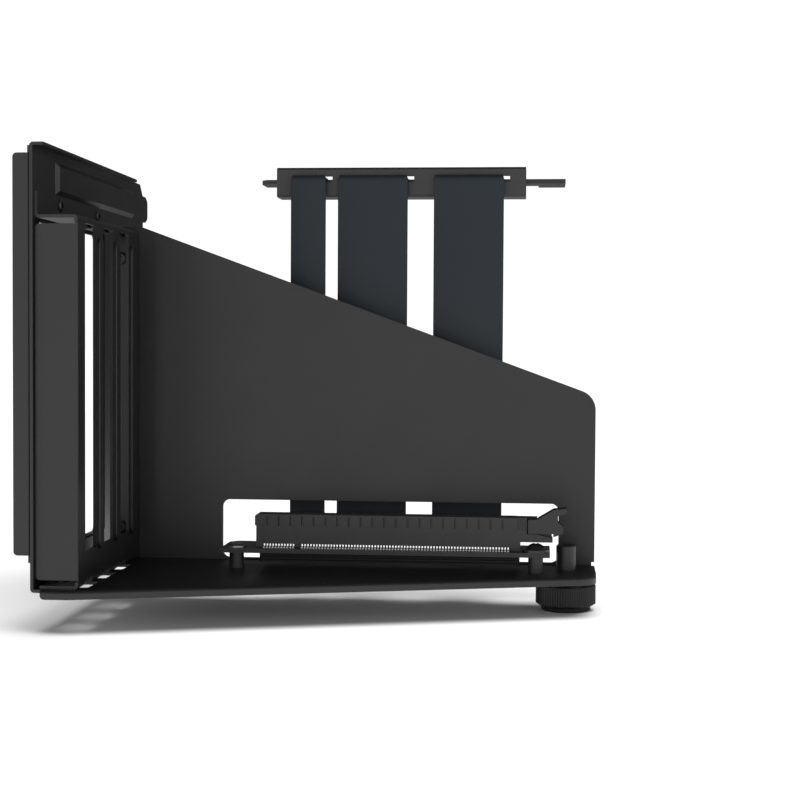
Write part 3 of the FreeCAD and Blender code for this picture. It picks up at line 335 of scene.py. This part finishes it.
# %% Dress the nodes
FINISH_OF = {
    powder_coat: ("bracket", "slot_frame", "rear_plate"),
    blackened_steel: ("wall_rivets", "panel_rivets", "base_rivets", "board_screw_right", "board_washer"),
    turned_steel: ("standoff_left", "standoff_right", "foot_bush", "foot_stud"),
    zinc_plate: ("board_screw_left",),
    moulded_black: ("slot_housing", "slot_latch"),
    shell_black: ("plug_shell_lower", "plug_shell_upper"),
    # The cover under the board takes the painted-shade copy of the moulding
    painted_shade_moulding: ("lower_cover",),
    solder_mask: ("riser_board", "plug_board"),
    tinned: ("slot_contacts_near", "slot_contacts_far"),
    gilt: ("plug_fingers_upper", "plug_fingers_lower"),
    anodised: ("foot_knob",),
    pad_rubber: ("foot_pad",),
}
for finish, names in FINISH_OF.items():
    for name in names:
        nodes[name].data.materials.clear()
        nodes[name].data.materials.append(finish)
dressed = {name for names in FINISH_OF.values() for name in names}
print("still to be made here:", sorted(set(nodes) - dressed))

# %% [markdown]
# Each contact of the socket stands on the board with a small foot, and solder has crept over the foot
# and a little way up the contact. Seen from the front it is a dim ramp below each bright contact,
# which splits the row in two. A mesh of typed points would do, but a box that is pushed into a ramp
# in edit mode is quicker to change: its upper front edge is moved down and back, and then rounded.

# %% One solder ramp
FIRST_CONTACT_X = 64.4 * MM
RAMP_FRONT_Y = -21.0 * MM
RAMP_BACK_Y = -19.8 * MM
RAMP_WIDTH = 0.56 * MM
RAMP_HEIGHT = 0.58 * MM
TOE_HEIGHT = 0.34 * MM
TOE_LEAN = 0.05 * MM
TOE_ROUND = 0.1 * MM
TOE_STEPS = 2


def only(*pieces):
    """Selects these pieces and nothing else; the first becomes active."""
    bpy.ops.object.select_all(action="DESELECT")
    for piece in pieces:
        piece.select_set(True)
    bpy.context.view_layer.objects.active = pieces[0]


def select_edges(piece, wanted):
    """Enters edit mode with only those edges selected whose two ends pass the test."""
    bpy.ops.object.mode_set(mode="EDIT")
    bpy.ops.mesh.select_mode(type="EDGE")
    bpy.ops.mesh.select_all(action="DESELECT")
    bpy.ops.object.mode_set(mode="OBJECT")
    points = piece.data.vertices
    for edge in piece.data.edges:
        edge.select = all(wanted(points[n].co) for n in edge.vertices)
    bpy.ops.object.mode_set(mode="EDIT")


board_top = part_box("riser_board")[1][2]
ramp_middle = Vector((FIRST_CONTACT_X, (RAMP_FRONT_Y + RAMP_BACK_Y) / 2, board_top + RAMP_HEIGHT / 2))
bpy.ops.object.select_all(action="DESELECT")
bpy.ops.mesh.primitive_cube_add(size=1.0, location=ramp_middle)
ramp = bpy.context.object
ramp.name = "solder_ramps"
ramp.scale = (RAMP_WIDTH, RAMP_BACK_Y - RAMP_FRONT_Y, RAMP_HEIGHT)
bpy.ops.object.transform_apply(location=True, rotation=True, scale=True)
select_edges(ramp, lambda co: co.y < ramp_middle.y and co.z > ramp_middle.z)
bpy.ops.transform.translate(value=(0.0, TOE_LEAN, TOE_HEIGHT - RAMP_HEIGHT))
bpy.ops.mesh.bevel(offset=TOE_ROUND, segments=TOE_STEPS)
bpy.ops.object.mode_set(mode="OBJECT")
print("one ramp:", len(ramp.data.polygons), "faces")

# %% [markdown]
# The socket has a short and a long block of contacts with its key between them, and the same on its
# far side. A loop could copy the ramp to each place, but Array modifiers keep the pitch exact and
# need few steps: a copy is turned round for the far side, the pair is copied to the second block, and
# each block is repeated along X. All of them are joined into one piece, with a finish that is duller
# than the tinned contacts.

# %% Rows of ramps
SECOND_BLOCK_X = 77.4 * MM
CONTACT_PITCH = 1.0 * MM
BLOCK_COUNTS = (11, 71)
ROW_MIDDLE_Y = -16.45 * MM


def repeat_along(piece, count):
    """Repeats a piece along X at the contacts' pitch."""
    only(piece)
    bpy.ops.object.modifier_add(type="ARRAY")
    row = piece.modifiers[-1]
    row.count = count
    row.use_relative_offset = False
    row.use_constant_offset = True
    row.constant_offset_displace = (CONTACT_PITCH, 0.0, 0.0)
    bpy.ops.object.modifier_apply(modifier=row.name)


only(ramp)
bpy.ops.object.duplicate()
far_ramp = bpy.context.object
bpy.ops.transform.rotate(
    value=math.pi, orient_axis="Z", center_override=(FIRST_CONTACT_X, ROW_MIDDLE_Y, board_top)
)
bpy.ops.object.transform_apply(location=True, rotation=True, scale=True)
only(ramp, far_ramp)
bpy.ops.object.join()
bpy.ops.object.duplicate()
long_block = bpy.context.object
bpy.ops.transform.translate(value=(SECOND_BLOCK_X - FIRST_CONTACT_X, 0.0, 0.0))
bpy.ops.object.transform_apply(location=True, rotation=True, scale=True)
for block, count in zip((ramp, long_block), BLOCK_COUNTS):
    repeat_along(block, count)
only(ramp, long_block)
bpy.ops.object.join()
solder = grained_finish(
    "solder", (0.38, 0.38, 0.37), (0.48, 0.48, 0.47), (0.20, 0.30), TIN_GRAIN, metal=1.0
)
ramp.data.materials.clear()
ramp.data.materials.append(solder)
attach(ramp, "mount")
print("solder ramps:", len(ramp.data.polygons), "faces")

# %% [markdown]
# The riser cable is three flat ribbons. Each leaves the board through the window, turns up behind the
# panel and folds over into the plug. A ribbon bends one way only, so one route in the upright plane
# serves all three. It could be a chain of straight runs and arcs, but a NURBS curve stays smooth
# through its bends; two points near each corner keep the long rise straight. The curve is turned into
# points, along which a strip is laid next.

# %% Ribbon route
ROUTE_STEPS = 16
ROUTE_ORDER = 3
# How far back and how high each point of the route is, in millimetres
RIBBON_ROUTE = (
    (-14.0, -67.5), (-4.8, -67.5), (9.2, -67.5), (9.2, -53.5),
    (9.2, 58.8), (9.2, 63.7), (11.0, 63.45), (13.6, 63.17), (20.0, 63.17),
)


def route_points(middle_x):
    """Points along the smooth route, in the upright plane at middle_x."""
    curve = bpy.data.curves.new("route", "CURVE")
    curve.dimensions = "3D"
    curve.resolution_u = ROUTE_STEPS
    spline = curve.splines.new("NURBS")
    spline.points.add(len(RIBBON_ROUTE) - 1)
    for point, (y, z) in zip(spline.points, RIBBON_ROUTE):
        point.co = (middle_x, y * MM, z * MM, 1.0)
    spline.order_u = ROUTE_ORDER
    spline.use_endpoint_u = True
    holder = bpy.data.objects.new("route", curve)
    bpy.context.collection.objects.link(holder)
    bpy.context.view_layer.update()
    line = bpy.data.meshes.new_from_object(holder)
    points = [v.co.copy() for v in line.vertices]
    bpy.data.objects.remove(holder)
    bpy.data.meshes.remove(line)
    bpy.data.curves.remove(curve)
    return points


route = route_points(0.0)

# %% [markdown]
# The strip's section is a flat bar with rounded long edges. A bevelled curve would twist or thin out
# at the fold, so the skin is made directly: a ring of section points at each point of the route,
# joined ring to ring and closed at both ends. At the fold into the plug the ribbon is trimmed a
# little narrower, with rounded corners.

# %% Ribbon strip
RIBBON_THICK = 0.8 * MM
EDGE_STEPS = 4
TRIM_START = 62.3 * MM
TRIM_RUN = 1.5 * MM
TRIM_WIDTH = 1.0 * MM
CREASE = math.radians(40)


def trimmed_by(height):
    """How much narrower each edge of a ribbon is at a height, near the plug."""
    part = min(max((height - TRIM_START) / TRIM_RUN, 0.0), 1.0)
    return TRIM_WIDTH * (1.0 - math.sqrt(1.0 - part * part))


def strip_section(width):
    """The ribbon's section as (across, through) points, with rounded edges."""
    radius = RIBBON_THICK / 2
    flat = width / 2 - radius
    section = []
    for side, start in ((1, -90), (-1, 90)):
        for step in range(EDGE_STEPS + 1):
            angle = math.radians(start + 180 / EDGE_STEPS * step)
            section.append((side * flat + radius * math.cos(angle), radius * math.sin(angle)))
    return section


def lay_ribbon(name, left, right_edge):
    """A closed strip along the route, between two places across."""
    middle = (left + right_edge) / 2 * MM
    points = route_points(middle)
    count = len(strip_section(RIBBON_THICK))
    vertices, faces = [], []
    reached = 0.0
    for n, point in enumerate(points):
        reached = max(reached, trimmed_by(point.z))
        section = strip_section((right_edge - left) * MM - 2 * reached)
        ahead = points[min(n + 1, len(points) - 1)] - points[max(n - 1, 0)]
        through = Vector((1.0, 0.0, 0.0)).cross(ahead).normalized()
        vertices += [point + Vector((a, 0.0, 0.0)) + through * t for a, t in section]
        if n:
            first = (n - 1) * count
            for k in range(count):
                near, next_one = first + k, first + (k + 1) % count
                faces.append((near, next_one, next_one + count, near + count))
    faces.append(tuple(reversed(range(count))))
    faces.append(tuple(range(len(vertices) - count, len(vertices))))
    mesh = bpy.data.meshes.new(name)
    mesh.from_pydata(vertices, [], faces)
    mesh.update()
    strip = bpy.data.objects.new(name + "_strip", mesh)
    bpy.context.collection.objects.link(strip)
    only(strip)
    bpy.ops.object.mode_set(mode="EDIT")
    bpy.ops.mesh.select_all(action="SELECT")
    bpy.ops.mesh.normals_make_consistent(inside=False)
    bpy.ops.object.mode_set(mode="OBJECT")
    bpy.ops.object.shade_smooth_by_angle(angle=CREASE)
    return strip, points


print("strip section:", len(strip_section(RIBBON_THICK)), "points")

# %% [markdown]
# The jacket is a smooth dark plastic, a little bluer than the metal, with fine ridges along the
# ribbon where the wires lie. The ridges could be modelled, but they are far finer than the ribbon is
# thick, so a bump is enough. The ribbon never turns sideways, so bands on the Object coordinate
# across it follow it round every bend.

# %% Ribbon jacket
JACKET_DARK = (0.0080, 0.0145, 0.0205)
JACKET_LIGHT = (0.0095, 0.0160, 0.0225)
JACKET_GLOSS = (0.46, 0.56)
JACKET_SHINE = 0.35
JACKET_DRIFT = 30.0
RIDGE_SCALE = 200.0
RIDGE_STRENGTH = 0.04
RIDGE_DEPTH = 0.0001

ribbon_jacket, jacket_shader, jacket_tree = plain_finish("ribbon_jacket", JACKET_LIGHT, JACKET_GLOSS[0])
jacket_shader.inputs["Specular IOR Level"].default_value = JACKET_SHINE
jacket_place = add_node(jacket_tree, "ShaderNodeTexCoord").outputs["Object"]
jacket_noise = drift_colour(
    jacket_tree, jacket_shader, jacket_place, JACKET_DARK, JACKET_LIGHT, JACKET_DRIFT
)
drift_gloss(jacket_tree, jacket_shader, jacket_noise, *JACKET_GLOSS)
ridges = add_node(jacket_tree, "ShaderNodeTexWave", Scale=RIDGE_SCALE, Distortion=0.0)
ridges.bands_direction = "X"
raise_bump(jacket_tree, jacket_shader, jacket_place, ridges, RIDGE_STRENGTH, RIDGE_DEPTH)
print("made", ribbon_jacket.name)

# %% [markdown]
# Now the three ribbons are laid, each between its own two places across. They take the place of the
# measured model's ribbons, which have fewer points. A cloth simulation isn't needed: the cable is
# stiff and held at both ends.

# %% Lay the ribbons
# Left and right edge of each ribbon, in millimetres
RIBBON_SPANS = {"ribbon_1": (68.5, 81.1), "ribbon_2": (85.4, 110.35), "ribbon_3": (119.6, 144.35)}

for name, (left, right_edge) in RIBBON_SPANS.items():
    strip, points = lay_ribbon(name, left, right_edge)
    strip.data.materials.append(ribbon_jacket)
    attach(strip, "mount")
    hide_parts(name)
    print(name, "is", round(right_edge - left, 2), "mm wide,", len(strip.data.polygons), "faces")
